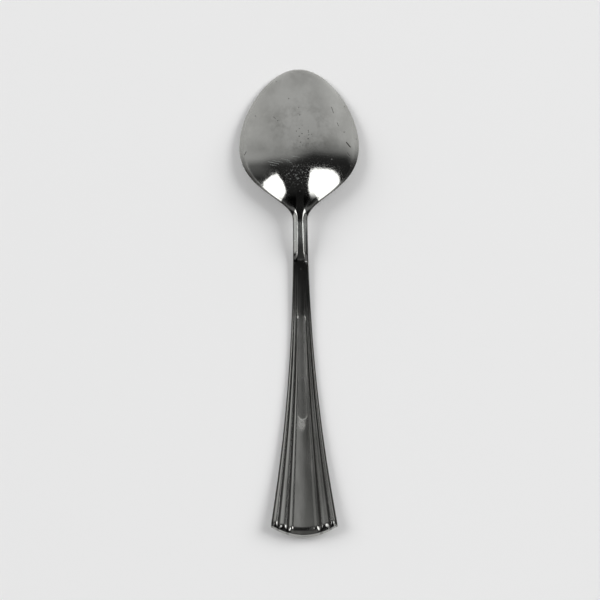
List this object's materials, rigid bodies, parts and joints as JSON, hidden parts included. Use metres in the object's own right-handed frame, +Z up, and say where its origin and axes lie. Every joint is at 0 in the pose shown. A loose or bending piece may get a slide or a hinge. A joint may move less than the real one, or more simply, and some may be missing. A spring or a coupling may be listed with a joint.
{
  "type": "soup spoon",
  "caption": "Steel soup spoon with an egg-shaped bowl, a slender neck and a reeded handle that fans out to a bowed end, lying face down.",
  "frame": {"origin": "under the middle of the spoon's box, on the table it lies on", "axes": "+Y from the handle's end to the bowl's tip, +Z up out of the spoon's convex back, +X to the right with the bowl at the top"},
  "size_m": [0.0448, 0.175, 0.0117],
  "materials": {
    "steel": "worn satin stainless steel with fine scratches and specks"
  },
  "bodies": {
    "root": {"bowl": "steel", "neck": "steel", "handle": "steel"}
  },
  "joints": []
}
